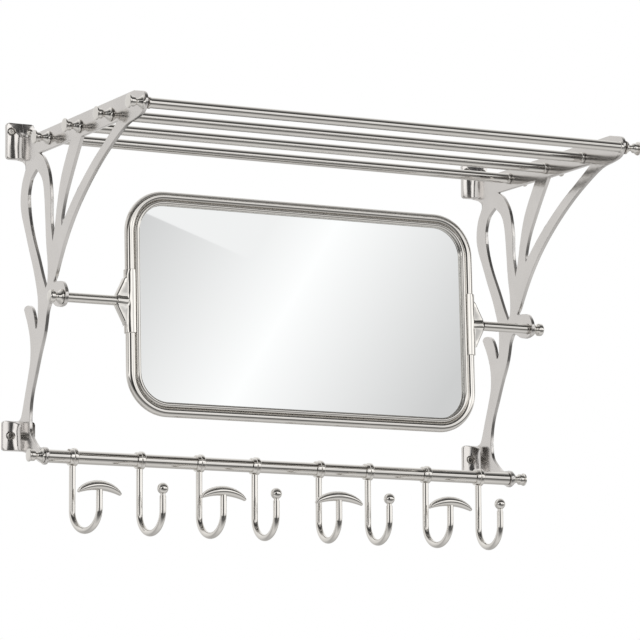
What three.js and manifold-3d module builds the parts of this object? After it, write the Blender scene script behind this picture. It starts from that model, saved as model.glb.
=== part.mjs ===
// A wall mirror hung between two cast brackets, with a rail of hooks below it and a rack of rails above it.
// Millimetres. +X runs right along the wall, +Y into the wall and +Z up. The wall is the plane y = 0, x = 0
// is midway between the brackets and z = 0 is the bottom edge of the lower wall plates.
import * as THREE from 'three';
import { mergeVertices } from 'three/addons/utils/BufferGeometryUtils.js';
import Module from 'manifold-3d';

// ---- Fits ----
const SEAT = 0.3; // gap left between two pieces that are screwed or soldered together
const BORE_PLAY = 0.3; // a bore's radius over the rod that turns or sits in it

// ---- Brackets: flat polished castings, each a web square to the wall with two wall plates ----
const SPAN = 560; // between the mid-planes of the two webs
const WEB = 4; // thickness of the web
const ARM_TOP = 336;
const ARM_DEPTH = 24;
const WALL_PLATE = 5; // thickness of a wall plate at its rim
const FLARE_REACH = 17; // how far the flare from wall plate to web stands out from the wall
const PLATE_CORNER = 3;
const UPPER_PLATE_WIDTH = 32;
const UPPER_PLATE_HEIGHT = 40;
const UPPER_PLATE_ABOVE_ARM = 19;
const LOWER_PLATE_WIDTH = 38;
const LOWER_PLATE_HEIGHT = 32;
const FOOT_EYE_RADIUS = 9.3; // round end of the foot, which carries the hook rail
const GRID = 1; // side of a square of the grid that the web's curves are drawn on

// ---- Wall screws, countersunk ----
const SCREW_HEAD_RADIUS = 4;
const SCREW_SHANK_RADIUS = 2.2;
const SCREW_HEAD_DEPTH = 2.6;
const UPPER_SCREW_OUT = 10.75; // from the web's mid-plane
const UPPER_SCREW_DOWN = 10; // from the top edge of the upper wall plate
const LOWER_SCREW_OUT = 10.5;
const SPOT_FACE_RADIUS = 4.6; // flat sunk into the flare for each screw head

// ---- Rack of rails between the arms ----
const RAIL_COUNT = 4;
const RAIL_RADIUS = 5.5;
const RAIL_PITCH = 80.3;
const RAIL_RISE = 1.9; // each rail lies this much higher than the one in front of it
const REAR_RAIL_OUT = 86.6; // from the wall
const REAR_RAIL_BELOW_TOP = 11.2; // from the top of the arm
const RAIL_COLLAR_RADIUS = 6.2;
const RAIL_COLLAR_WIDTH = 3;

// ---- Turned finials outside the webs ----
const FINIAL = { length: 17.5, rim: 7.2, neck: 3.3, body: 5.3, cap: 7.3 }; // the rest are radii
const HOOK_RAIL_FINIAL = { length: 17, rim: 7.6, neck: 3.8, body: 6, cap: 6.9 };

// ---- Rail of hooks ----
const HOOK_RAIL_RADIUS = 7;
const HOOK_RAIL_OUT = 75; // from the wall
const HOOK_RAIL_DOWN = 12; // below the bottom edge of the lower wall plates
// The hooks were set by hand: each has its place as a share of the span and its turn about its own rod.
const HOOKS = [
  { share: -0.4438, turn: 15.5 },
  { share: -0.3054, turn: 8.5 },
  { share: -0.1807, turn: 9.5 },
  { share: -0.0629, turn: 4.7 },
  { share: 0.0752, turn: 1.8 },
  { share: 0.1825, turn: 3.2 },
  { share: 0.3102, turn: 8 },
  { share: 0.4288, turn: 2.4 },
];
const COLLAR_RADIUS = 9.8;
const COLLAR_WIDTH = 9;
const COLLAR_BOSS_RADIUS = 8.8;
const COLLAR_RIM_WIDTH = 4.5;
const HOOK_RADIUS = 3.5;
const HOOK_BEND_RADIUS = 22.5; // of the rod's centre line
const HOOK_DROP = 79; // from the rail's axis to the centre line at the bottom of the bend
const BALL_RADIUS = 6;
const BALL_BELOW_RAIL = 33.6;
const BALL_NECK_RADIUS = 2.8;
const BALL_NECK_LENGTH = 1.6;
const CAP_WIDTH = 57; // crescent cap, across the hook
const CAP_DEPTH = 19; // front to back
const CAP_TOP_BELOW_RAIL = 28;
const CAP_THICKNESS = 10.5;
const CAP_TIPS_BELOW_TOP = 14.5;
const CAP_TIP_THICKNESS = 3.6;
const CAP_TIP_DEPTH = 10;

// ---- Swing mirror ----
const TRUNNION_OUT = 122.5; // the mirror's axis, from the wall
const TRUNNION_UP = 149.9;
const LEAN = 1.8; // degrees that the top of the mirror leans towards the wall
const FRAME_WIDTH = 418;
const FRAME_HEIGHT = 242;
const FRAME_TUBE_RADIUS = 5.5;
const FRAME_CORNER = 46; // outer corner radius
const BEAD_RADIUS = 2.5; // thin tube inside the frame that holds the glass
const BEAD_FORWARD = 4; // of the frame tube's centre
const GLASS_THICKNESS = 3;
const BACK_THICKNESS = 3;
const SADDLE_RADIUS = 7; // half sleeve soldered to the side of the frame tube
const SADDLE_LENGTH = 68;
const SADDLE_WRAP = 4.2; // how far the saddle wraps inward past the tube's centre
const WING_HEIGHT = 53;
const WING_STANDOUT = 12; // from the frame tube to the rod
const WING_THICKNESS = 9;
const ROD_RADIUS = 5.25;
const ROD_BOSS_RADIUS = 5.8;
const KNOB_LENGTH = 15;
const KNOB_RADIUS = 6.9;
const KNOB_NECK_RADIUS = 4.4;
const KNOB_BELL_RADIUS = 8.2;

// ---- Facets ----
const TURNED_SIDES = 12;
const EYE_SIDES = 16;
const TUBE_SIDES = 10;
const HOOK_SIDES = 8;
const BEND_STEPS = 10;
const CORNER_STEPS = 6;
const CURVE_POINTS = 3; // per point of a drawn curve
const FLARE_STEPS = 5;

const nickel = new THREE.MeshStandardMaterial({ color: 0xd8d3cb, metalness: 1, roughness: 0.12 });
const polishedPlate = new THREE.MeshStandardMaterial({ color: 0xcfcac4, metalness: 1, roughness: 0.18 });
const silvered = new THREE.MeshStandardMaterial({ color: 0xeef1f2, metalness: 1, roughness: 0.02 });
const board = new THREE.MeshStandardMaterial({ color: 0x77726b, metalness: 0, roughness: 0.8 });
const steel = new THREE.MeshStandardMaterial({ color: 0xb9b6b0, metalness: 1, roughness: 0.3 });

// ---------------------------------------------------------------- solids

const wasm = await Module();
wasm.setup();

/** Keeps a geometry's positions only, with shared corners merged and collapsed triangles dropped. */
function welded(geometry) {
  const bare = new THREE.BufferGeometry();
  bare.setAttribute('position', geometry.getAttribute('position').clone());
  if (geometry.index) bare.setIndex(geometry.index.clone());
  const merged = mergeVertices(bare, 1e-4);
  const corners = [];
  for (let i = 0; i < merged.index.count; i += 3) {
    const triangle = [0, 1, 2].map((k) => merged.index.getX(i + k));
    if (new Set(triangle).size === 3) corners.push(...triangle);
  }
  merged.setIndex(corners);
  return merged;
}

/** A closed geometry as a solid for cutting and joining. */
function solid(geometry) {
  const shell = welded(geometry);
  return new wasm.Manifold(
    new wasm.Mesh({
      numProp: 3,
      vertProperties: new Float32Array(shell.attributes.position.array),
      triVerts: new Uint32Array(shell.index.array),
    }),
  );
}

/** A solid back as a geometry with flat faces. */
function faceted(body) {
  const mesh = body.getMesh();
  const geometry = new THREE.BufferGeometry();
  geometry.setAttribute('position', new THREE.BufferAttribute(new Float32Array(mesh.vertProperties), 3));
  geometry.setIndex(new THREE.BufferAttribute(new Uint32Array(mesh.triVerts), 1));
  geometry.computeVertexNormals();
  return geometry;
}

const points2 = (pairs) => pairs.map(([a, b]) => new THREE.Vector2(a, b));

/** Turns a profile of [radius, distance] pairs round the Y axis. */
const turned = (profile, sides = TURNED_SIDES) => new THREE.LatheGeometry(points2(profile), sides);

/** A cylinder along Y from the plane y = from to y = to. */
const cylinder = (radius, from, to, sides) =>
  turned([[0, from], [radius, from], [radius, to], [0, to]], sides);

/** Extrudes a shape by depth, centred on its own plane. */
function plate(shape, depth, curvePoints = CURVE_POINTS) {
  const geometry = new THREE.ExtrudeGeometry(shape, {
    depth,
    bevelEnabled: false,
    curveSegments: curvePoints,
  });
  return geometry.translate(0, 0, -depth / 2);
}

/** Joins rings of points, all with as many points, into one closed surface; a loop joins last to first. */
function lofted(rings, loop = false) {
  const sides = rings[0].length;
  const corners = [];
  const steps = loop ? rings.length : rings.length - 1;
  for (let i = 0; i < steps; i++) {
    const here = i * sides;
    const next = ((i + 1) % rings.length) * sides;
    for (let k = 0; k < sides; k++) {
      const turn = (k + 1) % sides;
      corners.push(here + k, here + turn, next + turn, here + k, next + turn, next + k);
    }
  }
  if (!loop) {
    const last = (rings.length - 1) * sides;
    for (let k = 1; k < sides - 1; k++) {
      corners.push(0, k + 1, k, last, last + k, last + k + 1);
    }
  }
  const geometry = new THREE.BufferGeometry().setFromPoints(rings.flat());
  geometry.setIndex(corners);
  geometry.computeVertexNormals();
  return geometry;
}

/** A regular polygon's corners about the origin. */
function polygon(radius, sides) {
  return Array.from({ length: sides }, (_, k) => {
    const angle = (2 * Math.PI * k) / sides;
    return new THREE.Vector2(radius * Math.cos(angle), radius * Math.sin(angle));
  });
}

/** A rounded rectangle's points in turn, each with the direction that points out of it. */
function roundedLoop(halfWidth, halfHeight, radius, steps = CORNER_STEPS) {
  const loop = [];
  [[1, 1], [-1, 1], [-1, -1], [1, -1]].forEach(([sx, sz], corner) => {
    for (let k = 0; k <= steps; k++) {
      const angle = (Math.PI / 2) * (corner + k / steps);
      const out = new THREE.Vector2(Math.cos(angle), Math.sin(angle));
      loop.push({
        x: sx * (halfWidth - radius) + radius * out.x,
        z: sz * (halfHeight - radius) + radius * out.y,
        out,
      });
    }
  });
  return loop;
}

function roundedShape(halfWidth, halfHeight, radius, steps) {
  const loop = roundedLoop(halfWidth, halfHeight, radius, steps);
  return new THREE.Shape(loop.map(({ x, z }) => new THREE.Vector2(x, z)));
}

// Ways to stand a drawn shape up: its x, its y and its extrusion become these axes.
const AXIS = {
  x: new THREE.Vector3(1, 0, 0),
  y: new THREE.Vector3(0, 1, 0),
  z: new THREE.Vector3(0, 0, 1),
};
const FROM_SIDE = new THREE.Matrix4().makeBasis(AXIS.y.clone().negate(), AXIS.z, AXIS.x.clone().negate());
const FROM_FRONT = new THREE.Matrix4().makeBasis(AXIS.x, AXIS.z, AXIS.y.clone().negate());
const TO_RIGHT = new THREE.Matrix4().makeRotationZ(-Math.PI / 2); // a turned piece's axis laid along +X
const TO_LEFT = new THREE.Matrix4().makeRotationZ(Math.PI / 2);
const UPRIGHT = new THREE.Matrix4().makeRotationX(Math.PI / 2);

const moved = (geometry, x, y, z) => geometry.translate(x, y, z);

const root = new THREE.Group();

function piece(name, geometry, material, parent = root, place = [0, 0, 0]) {
  const mesh = new THREE.Mesh(geometry, material);
  mesh.name = name;
  mesh.position.set(...place);
  parent.add(mesh);
  return mesh;
}

// ---------------------------------------------------------------- brackets

const ARM_UNDER = ARM_TOP - ARM_DEPTH;
const UPPER_PLATE_TOP = ARM_TOP + UPPER_PLATE_ABOVE_ARM;
const UPPER_PLATE_BOTTOM = UPPER_PLATE_TOP - UPPER_PLATE_HEIGHT;
const FRONT_RAIL_OUT = REAR_RAIL_OUT + (RAIL_COUNT - 1) * RAIL_PITCH;
const HOOK_RAIL_Z = -HOOK_RAIL_DOWN;

// Curves of the web are drawn as [out from the wall, height]. Those of the stems hang from the underside of
// the arm, those of the leg stand on the lower wall plate and those of the lug go round the mirror's axis.
const drawn = (pairs, out, up) => points2(pairs.map(([a, b]) => [out + a * GRID, up + b * GRID]));
const hung = (pairs) => drawn(pairs.map(([out, drop]) => [out, -drop]), 0, ARM_UNDER);
const stood = (pairs) => drawn(pairs, 0, LOWER_PLATE_HEIGHT);
const aboutLug = (pairs) => drawn(pairs, TRUNNION_OUT, TRUNNION_UP);
const aboutNose = (pairs) => drawn(pairs.map(([out, drop]) => [out, -drop]), FRONT_RAIL_OUT, ARM_TOP);
const underFoot = (pairs) => drawn(pairs, 0, 0);

/** The web's outline: arm, scrolled front stem, lug for the mirror, leg, foot and the leaf behind it. */
function webOutline() {
  const web = new THREE.Shape();
  web.moveTo(0, UPPER_PLATE_TOP);
  web.lineTo(WALL_PLATE, UPPER_PLATE_TOP);
  web.quadraticCurveTo(WALL_PLATE + 3 * GRID, ARM_TOP, FLARE_REACH + 12 * GRID, ARM_TOP);
  web.lineTo(FRONT_RAIL_OUT - 24 * GRID, ARM_TOP);
  web.splineThru(aboutNose([[-10, 3], [-0.5, 5.6], [4, 12], [3, 19.5], [-6, 27], [-24, 30]]));
  web.splineThru(hung([
    [280, 9.4], [240, 25.5], [208, 42], [181, 59],
    [157, 77], [137, 96], [121, 115], [105, 138],
  ]));
  web.splineThru(aboutLug([
    [-22, 19], [-11.7, 18.2], [1.5, 15.8], [9.3, 7],
    [10, -2], [5, -8.6], [-5, -10],
  ]));
  web.splineThru(aboutLug([[-16.5, -7.5], [-24.7, -3.5], [-32.2, -1.9], [-39.2, -10.6]]));
  web.splineThru(stood([
    [76.5, 86], [64, 65], [53.5, 45], [43, 25], [38.5, 8],
    [38, -5], [41, -17], [50, -26], [61, -34],
  ]));
  web.lineTo(HOOK_RAIL_OUT, HOOK_RAIL_Z + FOOT_EYE_RADIUS * 0.95);
  web.lineTo(HOOK_RAIL_OUT, HOOK_RAIL_Z - FOOT_EYE_RADIUS * 0.95);
  web.splineThru(underFoot([[62, -17], [48, -11], [28, -4.5], [10, 0]]));
  web.lineTo(0, 0);
  web.lineTo(0, LOWER_PLATE_HEIGHT);
  web.lineTo(WALL_PLATE, LOWER_PLATE_HEIGHT);
  web.splineThru(stood([
    [13, 2], [17.5, 9], [25.7, 28], [33, 45],
    [38.8, 62], [38.2, 82], [31.5, 100], [21, 117.6],
  ]));
  web.splineThru(stood([
    [25.5, 121], [35, 120.5], [43.5, 116], [49.5, 106],
    [53.5, 93.5], [57.5, 98], [58.8, 116],
  ]));
  web.splineThru(hung([
    [57, 150], [46, 122.5], [34.5, 101], [23, 78], [13, 58],
    [10, 42], [14, 24], [24, 9], [14, 1],
  ]));
  web.lineTo(0, UPPER_PLATE_BOTTOM);
  web.closePath();
  return web;
}

/** The three openings between the stems, from the wall forward. */
function webOpenings() {
  const drop = new THREE.Shape();
  drop.moveTo(53 * GRID, ARM_UNDER - 15.5 * GRID);
  drop.splineThru(hung([
    [67, 26.5], [73.7, 42.3], [77.5, 72], [80, 98],
    [84.2, 121], [84, 140], [79, 146.5],
  ]));
  drop.splineThru(hung([
    [70.5, 133], [58.5, 111], [44, 86], [34.5, 63],
    [31, 41], [36.5, 26], [44, 20], [53, 15.5],
  ]));

  const middle = new THREE.Shape();
  middle.moveTo(60 * GRID, ARM_UNDER + GRID);
  middle.splineThru(hung([[73, 6.6], [86.3, 24.7], [92, 50], [92.6, 75], [97.6, 98.5]]));
  middle.splineThru(hung([[102.7, 85], [108.3, 64], [114.5, 44.8], [123.7, 26.6], [143.5, -0.5]]));
  middle.closePath();

  const front = new THREE.Shape();
  front.moveTo(172 * GRID, ARM_UNDER - 0.5 * GRID);
  front.splineThru(hung([[156.5, 20], [141.5, 40], [129, 58.5], [121.5, 76], [120.3, 86.5]]));
  front.splineThru(hung([[131.5, 77], [152.5, 60.5], [177, 44.5], [204, 29], [233.5, 15], [263, 0.5]]));
  front.closePath();
  return [drop, middle, front];
}

/** A wall plate with rounded corners whose front flares into the web, over [bottom, top]. */
function wallPlate(width, bottom, top, sideOutline) {
  const plan = new THREE.Shape();
  const half = width / 2;
  plan.moveTo(-half, 0);
  plan.lineTo(-half, WALL_PLATE);
  const reach = FLARE_REACH - WALL_PLATE;
  const run = half - WEB / 2;
  for (let k = 1; k <= FLARE_STEPS; k++) {
    const angle = (Math.PI / 2) * (k / FLARE_STEPS);
    plan.lineTo(-half + run * Math.sin(angle), FLARE_REACH - reach * Math.cos(angle));
  }
  for (let k = FLARE_STEPS; k >= 0; k--) {
    const angle = (Math.PI / 2) * (k / FLARE_STEPS);
    plan.lineTo(half - run * Math.sin(angle), FLARE_REACH - reach * Math.cos(angle));
  }
  plan.lineTo(half, 0);
  plan.closePath();
  // Drawn in plan with y out from the wall, so it is turned over about the X axis to point forward.
  const flared = solid(
    plate(plan, top - bottom).rotateX(Math.PI).translate(0, 0, (top + bottom) / 2),
  );
  const rim = solid(
    plate(roundedShape(half, (top - bottom) / 2, PLATE_CORNER, 2), 2 * FLARE_REACH + 2)
      .applyMatrix4(FROM_FRONT)
      .translate(0, 0, (top + bottom) / 2),
  );
  const side = solid(plate(sideOutline, width + 2).applyMatrix4(FROM_SIDE));
  return flared.intersect(rim).intersect(side);
}

/** Where the screws of one bracket sit: x from the web's mid-plane, and z. */
function screwPlaces() {
  const upperZ = UPPER_PLATE_TOP - UPPER_SCREW_DOWN;
  const lowerZ = LOWER_PLATE_HEIGHT / 2;
  return [
    { name: 'upper_outer', x: -UPPER_SCREW_OUT, z: upperZ },
    { name: 'upper_inner', x: UPPER_SCREW_OUT, z: upperZ },
    { name: 'lower_outer', x: -LOWER_SCREW_OUT, z: lowerZ },
    { name: 'lower_inner', x: LOWER_SCREW_OUT, z: lowerZ },
  ];
}

/** A countersunk screw, or with play the hole that it sits in; its axis is +Y up to the head's face. */
function screwForm(play, foot, face) {
  return turned([
    [0, foot],
    [SCREW_SHANK_RADIUS + play, foot],
    [SCREW_SHANK_RADIUS + play, WALL_PLATE - SCREW_HEAD_DEPTH],
    [SCREW_HEAD_RADIUS + play, WALL_PLATE],
    [SCREW_HEAD_RADIUS + play, face],
    [0, face],
  ]);
}

const FORWARD = new THREE.Matrix4().makeRotationX(Math.PI); // +Y of a turned piece to -Y, away from the wall

/** One bracket about its web's mid-plane at x = 0. */
function bracket() {
  let body = solid(plate(webOutline(), WEB).applyMatrix4(FROM_SIDE));
  const eye = cylinder(FOOT_EYE_RADIUS, -WEB / 2, WEB / 2, EYE_SIDES);
  body = body.add(solid(moved(eye.applyMatrix4(TO_RIGHT), 0, -HOOK_RAIL_OUT, HOOK_RAIL_Z)));
  for (const opening of webOpenings()) {
    body = body.subtract(solid(plate(opening, 2 * WEB).applyMatrix4(FROM_SIDE)));
  }

  const upperSide = new THREE.Shape();
  upperSide.moveTo(-1, UPPER_PLATE_BOTTOM - 1);
  upperSide.lineTo(-1, UPPER_PLATE_TOP + 1);
  upperSide.lineTo(WALL_PLATE, UPPER_PLATE_TOP + 1);
  upperSide.lineTo(WALL_PLATE, UPPER_PLATE_TOP);
  upperSide.quadraticCurveTo(WALL_PLATE + 2, ARM_TOP + 2, FLARE_REACH + 1, ARM_TOP);
  upperSide.lineTo(FLARE_REACH + 1, UPPER_PLATE_BOTTOM - 1);
  upperSide.closePath();
  body = body.add(wallPlate(UPPER_PLATE_WIDTH, UPPER_PLATE_BOTTOM, UPPER_PLATE_TOP, upperSide));

  const lowerSide = new THREE.Shape();
  lowerSide.moveTo(-1, -1);
  lowerSide.lineTo(-1, LOWER_PLATE_HEIGHT + 1);
  lowerSide.lineTo(WALL_PLATE, LOWER_PLATE_HEIGHT + 1);
  lowerSide.lineTo(WALL_PLATE, LOWER_PLATE_HEIGHT);
  lowerSide.quadraticCurveTo(WALL_PLATE + 4, LOWER_PLATE_HEIGHT - 1, FLARE_REACH + 1, LOWER_PLATE_HEIGHT * 0.75);
  lowerSide.lineTo(FLARE_REACH + 1, -1);
  lowerSide.closePath();
  body = body.add(wallPlate(LOWER_PLATE_WIDTH, 0, LOWER_PLATE_HEIGHT, lowerSide));

  const bore = solid(
    moved(cylinder(ROD_RADIUS + BORE_PLAY, -WEB, WEB).applyMatrix4(TO_RIGHT), 0, -TRUNNION_OUT, TRUNNION_UP),
  );
  body = body.subtract(bore);
  for (const { x, z } of screwPlaces()) {
    const hole = screwForm(SEAT, -1, WALL_PLATE + 0.5).applyMatrix4(FORWARD);
    const spot = cylinder(SPOT_FACE_RADIUS, WALL_PLATE, 2 * FLARE_REACH).applyMatrix4(FORWARD);
    body = body.subtract(solid(moved(hole, x, 0, z))).subtract(solid(moved(spot, x, 0, z)));
  }
  return faceted(body);
}

const bracketForm = bracket();
const SIDES = [
  { side: 'left', sign: -1, outward: TO_LEFT },
  { side: 'right', sign: 1, outward: TO_RIGHT },
];
for (const { side, sign } of SIDES) {
  const webX = (sign * SPAN) / 2;
  piece(side + '_bracket', bracketForm.clone(), polishedPlate, root, [webX, 0, 0]);
  for (const { name, x, z } of screwPlaces()) {
    const screw = screwForm(0, SEAT, WALL_PLATE + 0.3).applyMatrix4(FORWARD);
    piece(side + '_screw_' + name, screw, steel, root, [webX - sign * x, 0, z]);
  }
}

// ---------------------------------------------------------------- rack of rails and finials

const BETWEEN_WEBS = SPAN - WEB - 2 * SEAT; // length of a piece that butts on both webs
const OUTER_FACE = SPAN / 2 + WEB / 2 + SEAT;

/** A rail with a rounded collar at each end, along Y and centred. */
function railForm() {
  const half = BETWEEN_WEBS / 2;
  const collar = half - RAIL_COLLAR_WIDTH;
  return turned([
    [0, -half],
    [RAIL_COLLAR_RADIUS - 0.7, -half],
    [RAIL_COLLAR_RADIUS, -half + RAIL_COLLAR_WIDTH / 2],
    [RAIL_RADIUS, -collar],
    [RAIL_RADIUS, collar],
    [RAIL_COLLAR_RADIUS, half - RAIL_COLLAR_WIDTH / 2],
    [RAIL_COLLAR_RADIUS - 0.7, half],
    [0, half],
  ]);
}

/** A finial along +Y from the web: a bell, a neck, a barrel and a thin cap. */
function finialForm({ length, rim, neck, body, cap }) {
  return turned([
    [0, 0],
    [rim, 0],
    [rim, length * 0.08],
    [(rim + neck) / 2, length * 0.2],
    [neck, length * 0.35],
    [neck, length * 0.44],
    [body, length * 0.58],
    [body, length * 0.82],
    [cap, length * 0.87],
    [cap, length * 0.98],
    [0, length],
  ]);
}

for (let k = 0; k < RAIL_COUNT; k++) {
  const out = FRONT_RAIL_OUT - k * RAIL_PITCH;
  const z = ARM_TOP - REAR_RAIL_BELOW_TOP - (RAIL_COUNT - 1 - k) * RAIL_RISE;
  piece('shelf_rail_' + (k + 1), railForm().applyMatrix4(TO_RIGHT), nickel, root, [0, -out, z]);
  for (const { side, sign, outward } of SIDES) {
    const finial = finialForm(FINIAL).applyMatrix4(outward);
    piece('finial_' + side + '_' + (k + 1), finial, nickel, root, [sign * OUTER_FACE, -out, z]);
  }
}

// ---------------------------------------------------------------- rail of hooks

const hookRail = new THREE.Group();
hookRail.position.set(0, -HOOK_RAIL_OUT, HOOK_RAIL_Z);
root.add(hookRail);

const hookRailForm = cylinder(HOOK_RAIL_RADIUS, -BETWEEN_WEBS / 2, BETWEEN_WEBS / 2);
piece('hook_rail', hookRailForm.applyMatrix4(TO_RIGHT), nickel, hookRail);

for (const { side, sign, outward } of SIDES) {
  const finial = finialForm(HOOK_RAIL_FINIAL).applyMatrix4(outward);
  piece('hook_rail_finial_' + side, finial, nickel, hookRail, [sign * OUTER_FACE, 0, 0]);
}

/** The collar that carries a hook: a raised rim beside a narrower boss, round the rail and along Y. */
function collarForm() {
  const half = COLLAR_WIDTH / 2;
  const bore = HOOK_RAIL_RADIUS + SEAT;
  const rim = half - COLLAR_RIM_WIDTH;
  return turned([
    [bore, -half],
    [COLLAR_BOSS_RADIUS, -half],
    [COLLAR_BOSS_RADIUS, rim - 0.5],
    [COLLAR_RADIUS, rim + 0.5],
    [COLLAR_RADIUS, half - 0.8],
    [COLLAR_RADIUS - 1, half],
    [bore, half],
    [bore, -half],
  ]);
}

/** A line through stations that each hold a point and a direction, so a tube gets a ring just there. */
class StationLine extends THREE.Curve {
  constructor(stations) {
    super();
    this.stations = stations;
  }

  at(u) {
    return this.stations[Math.round(u * (this.stations.length - 1))];
  }

  getPointAt(u) {
    return this.at(u).point.clone();
  }

  getTangentAt(u) {
    return this.at(u).direction.clone();
  }
}

const BEND_CENTRE = HOOK_DROP - HOOK_BEND_RADIUS; // below the rail's axis

/** A hook's rod: down from the collar, round the bend towards the front and up to tipBelow the axis. */
function hookForm(tipBelow) {
  const down = AXIS.z.clone().negate();
  const stations = [{ point: new THREE.Vector3(0, 0, -COLLAR_RADIUS - SEAT), direction: down }];
  for (let k = 0; k <= BEND_STEPS; k++) {
    const angle = (Math.PI * k) / BEND_STEPS;
    const out = HOOK_BEND_RADIUS * (1 - Math.cos(angle));
    stations.push({
      point: new THREE.Vector3(0, -out, -BEND_CENTRE - HOOK_BEND_RADIUS * Math.sin(angle)),
      direction: new THREE.Vector3(0, -Math.sin(angle), -Math.cos(angle)),
    });
  }
  stations.push({ point: new THREE.Vector3(0, -2 * HOOK_BEND_RADIUS, -tipBelow), direction: AXIS.z.clone() });
  return new THREE.ExtrudeGeometry(new THREE.Shape(polygon(HOOK_RADIUS, HOOK_SIDES)), {
    steps: stations.length - 1,
    extrudePath: new StationLine(stations),
    bevelEnabled: false,
  });
}

/** A ball with a short neck under it, along Z about the ball's centre. */
function ballForm() {
  const neck = Math.sqrt(BALL_RADIUS ** 2 - BALL_NECK_RADIUS ** 2);
  const profile = [
    [0, -BALL_RADIUS - BALL_NECK_LENGTH],
    [BALL_NECK_RADIUS, -BALL_RADIUS - BALL_NECK_LENGTH],
    [BALL_NECK_RADIUS, -neck],
  ];
  const first = Math.atan2(-neck, BALL_NECK_RADIUS);
  const steps = 6;
  for (let k = 1; k < steps; k++) {
    const angle = first + ((Math.PI / 2 - first) * k) / steps;
    profile.push([BALL_RADIUS * Math.cos(angle), BALL_RADIUS * Math.sin(angle)]);
  }
  profile.push([0, BALL_RADIUS]);
  return turned(profile, TUBE_SIDES).applyMatrix4(UPRIGHT);
}

/** The crescent cap: an arched, full-bodied bar with blunt tips, about the middle of its top. */
function crescentForm() {
  const stations = 10;
  const topFall = CAP_TIPS_BELOW_TOP - CAP_TIP_THICKNESS;
  const rings = [];
  for (let i = 0; i <= stations; i++) {
    const share = (2 * i) / stations - 1;
    const even = Math.sin((share * Math.PI) / 2); // stations crowd towards the tips
    const round = i === 0 || i === stations ? 0.55 : 1; // the last section closes the blunt tip
    const top = -topFall * (0.5 * even ** 2 + 0.5 * (1 - Math.sqrt(1 - even ** 2)));
    const under = -CAP_THICKNESS - (CAP_TIPS_BELOW_TOP - CAP_THICKNESS) * even ** 2;
    const middle = under + 0.4 * (top - under);
    const halfDepth = (round * (CAP_DEPTH - (CAP_DEPTH - CAP_TIP_DEPTH) * even ** 2)) / 2;
    rings.push(
      polygon(1, TUBE_SIDES).map(({ x, y }) => {
        const height = round * (y > 0 ? top - middle : middle - under);
        return new THREE.Vector3((even * CAP_WIDTH) / 2, halfDepth * x, middle + height * y);
      }),
    );
  }
  return lofted(rings);
}

const collar = collarForm().applyMatrix4(TO_RIGHT);
HOOKS.forEach(({ share, turn }, k) => {
  const number = k + 1;
  const hook = new THREE.Group();
  hook.position.x = share * SPAN;
  hookRail.add(hook);
  piece('hook_collar_' + number, collar.clone(), nickel, hook);
  const turnedHook = new THREE.Group();
  turnedHook.rotation.z = THREE.MathUtils.degToRad(turn);
  hook.add(turnedHook);
  const front = -2 * HOOK_BEND_RADIUS;
  if (k % 2 === 0) {
    const under = CAP_TOP_BELOW_RAIL + CAP_THICKNESS;
    piece('hook_' + number, hookForm(under + SEAT), nickel, turnedHook);
    piece('hook_cap_' + number, crescentForm(), nickel, turnedHook, [0, front, -CAP_TOP_BELOW_RAIL]);
  } else {
    const under = BALL_BELOW_RAIL + BALL_RADIUS + BALL_NECK_LENGTH;
    piece('hook_' + number, hookForm(under + SEAT), nickel, turnedHook);
    piece('hook_ball_' + number, ballForm(), nickel, turnedHook, [0, front, -BALL_BELOW_RAIL]);
  }
});

// ---------------------------------------------------------------- swing mirror

const mirror = new THREE.Group();
mirror.position.set(0, -TRUNNION_OUT, TRUNNION_UP);
mirror.rotation.x = -THREE.MathUtils.degToRad(LEAN);
root.add(mirror);

const TUBE_HALF_WIDTH = FRAME_WIDTH / 2 - FRAME_TUBE_RADIUS;
const TUBE_HALF_HEIGHT = FRAME_HEIGHT / 2 - FRAME_TUBE_RADIUS;
const TUBE_CORNER = FRAME_CORNER - FRAME_TUBE_RADIUS;
// The bead lies against the tube, so its forward place sets how far in it lies.
const BEAD_IN = Math.sqrt((FRAME_TUBE_RADIUS + BEAD_RADIUS + SEAT) ** 2 - BEAD_FORWARD ** 2);
const GLASS_IN = FRAME_TUBE_RADIUS + SEAT;
const GLASS_FRONT = -BEAD_FORWARD + BEAD_RADIUS + SEAT;
const BACK_FRONT = GLASS_FRONT + GLASS_THICKNESS + SEAT;

/** A round tube along the mirror's outline, set in from the frame tube's centre line. */
function framedTube(inset, radius, sides) {
  const loop = roundedLoop(TUBE_HALF_WIDTH - inset, TUBE_HALF_HEIGHT - inset, TUBE_CORNER - inset);
  const rings = loop.map(({ x, z, out }) =>
    polygon(radius, sides).map((p) => new THREE.Vector3(x + p.x * out.x, p.y, z + p.x * out.y)),
  );
  return lofted(rings, true);
}

/** A flat pane that fills the frame, its front face at y = front. */
function pane(front, thickness) {
  const shape = roundedShape(TUBE_HALF_WIDTH - GLASS_IN, TUBE_HALF_HEIGHT - GLASS_IN, TUBE_CORNER - GLASS_IN);
  return plate(shape, thickness)
    .applyMatrix4(FROM_FRONT)
    .translate(0, front + thickness / 2, 0);
}

piece('mirror_frame', framedTube(0, FRAME_TUBE_RADIUS, TUBE_SIDES), nickel, mirror);
piece('mirror_bead', framedTube(BEAD_IN, BEAD_RADIUS, HOOK_SIDES), nickel, mirror, [0, -BEAD_FORWARD, 0]);
piece('mirror_glass', pane(GLASS_FRONT, GLASS_THICKNESS), silvered, mirror);
piece('mirror_back', pane(BACK_FRONT, BACK_THICKNESS), board, mirror);

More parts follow.
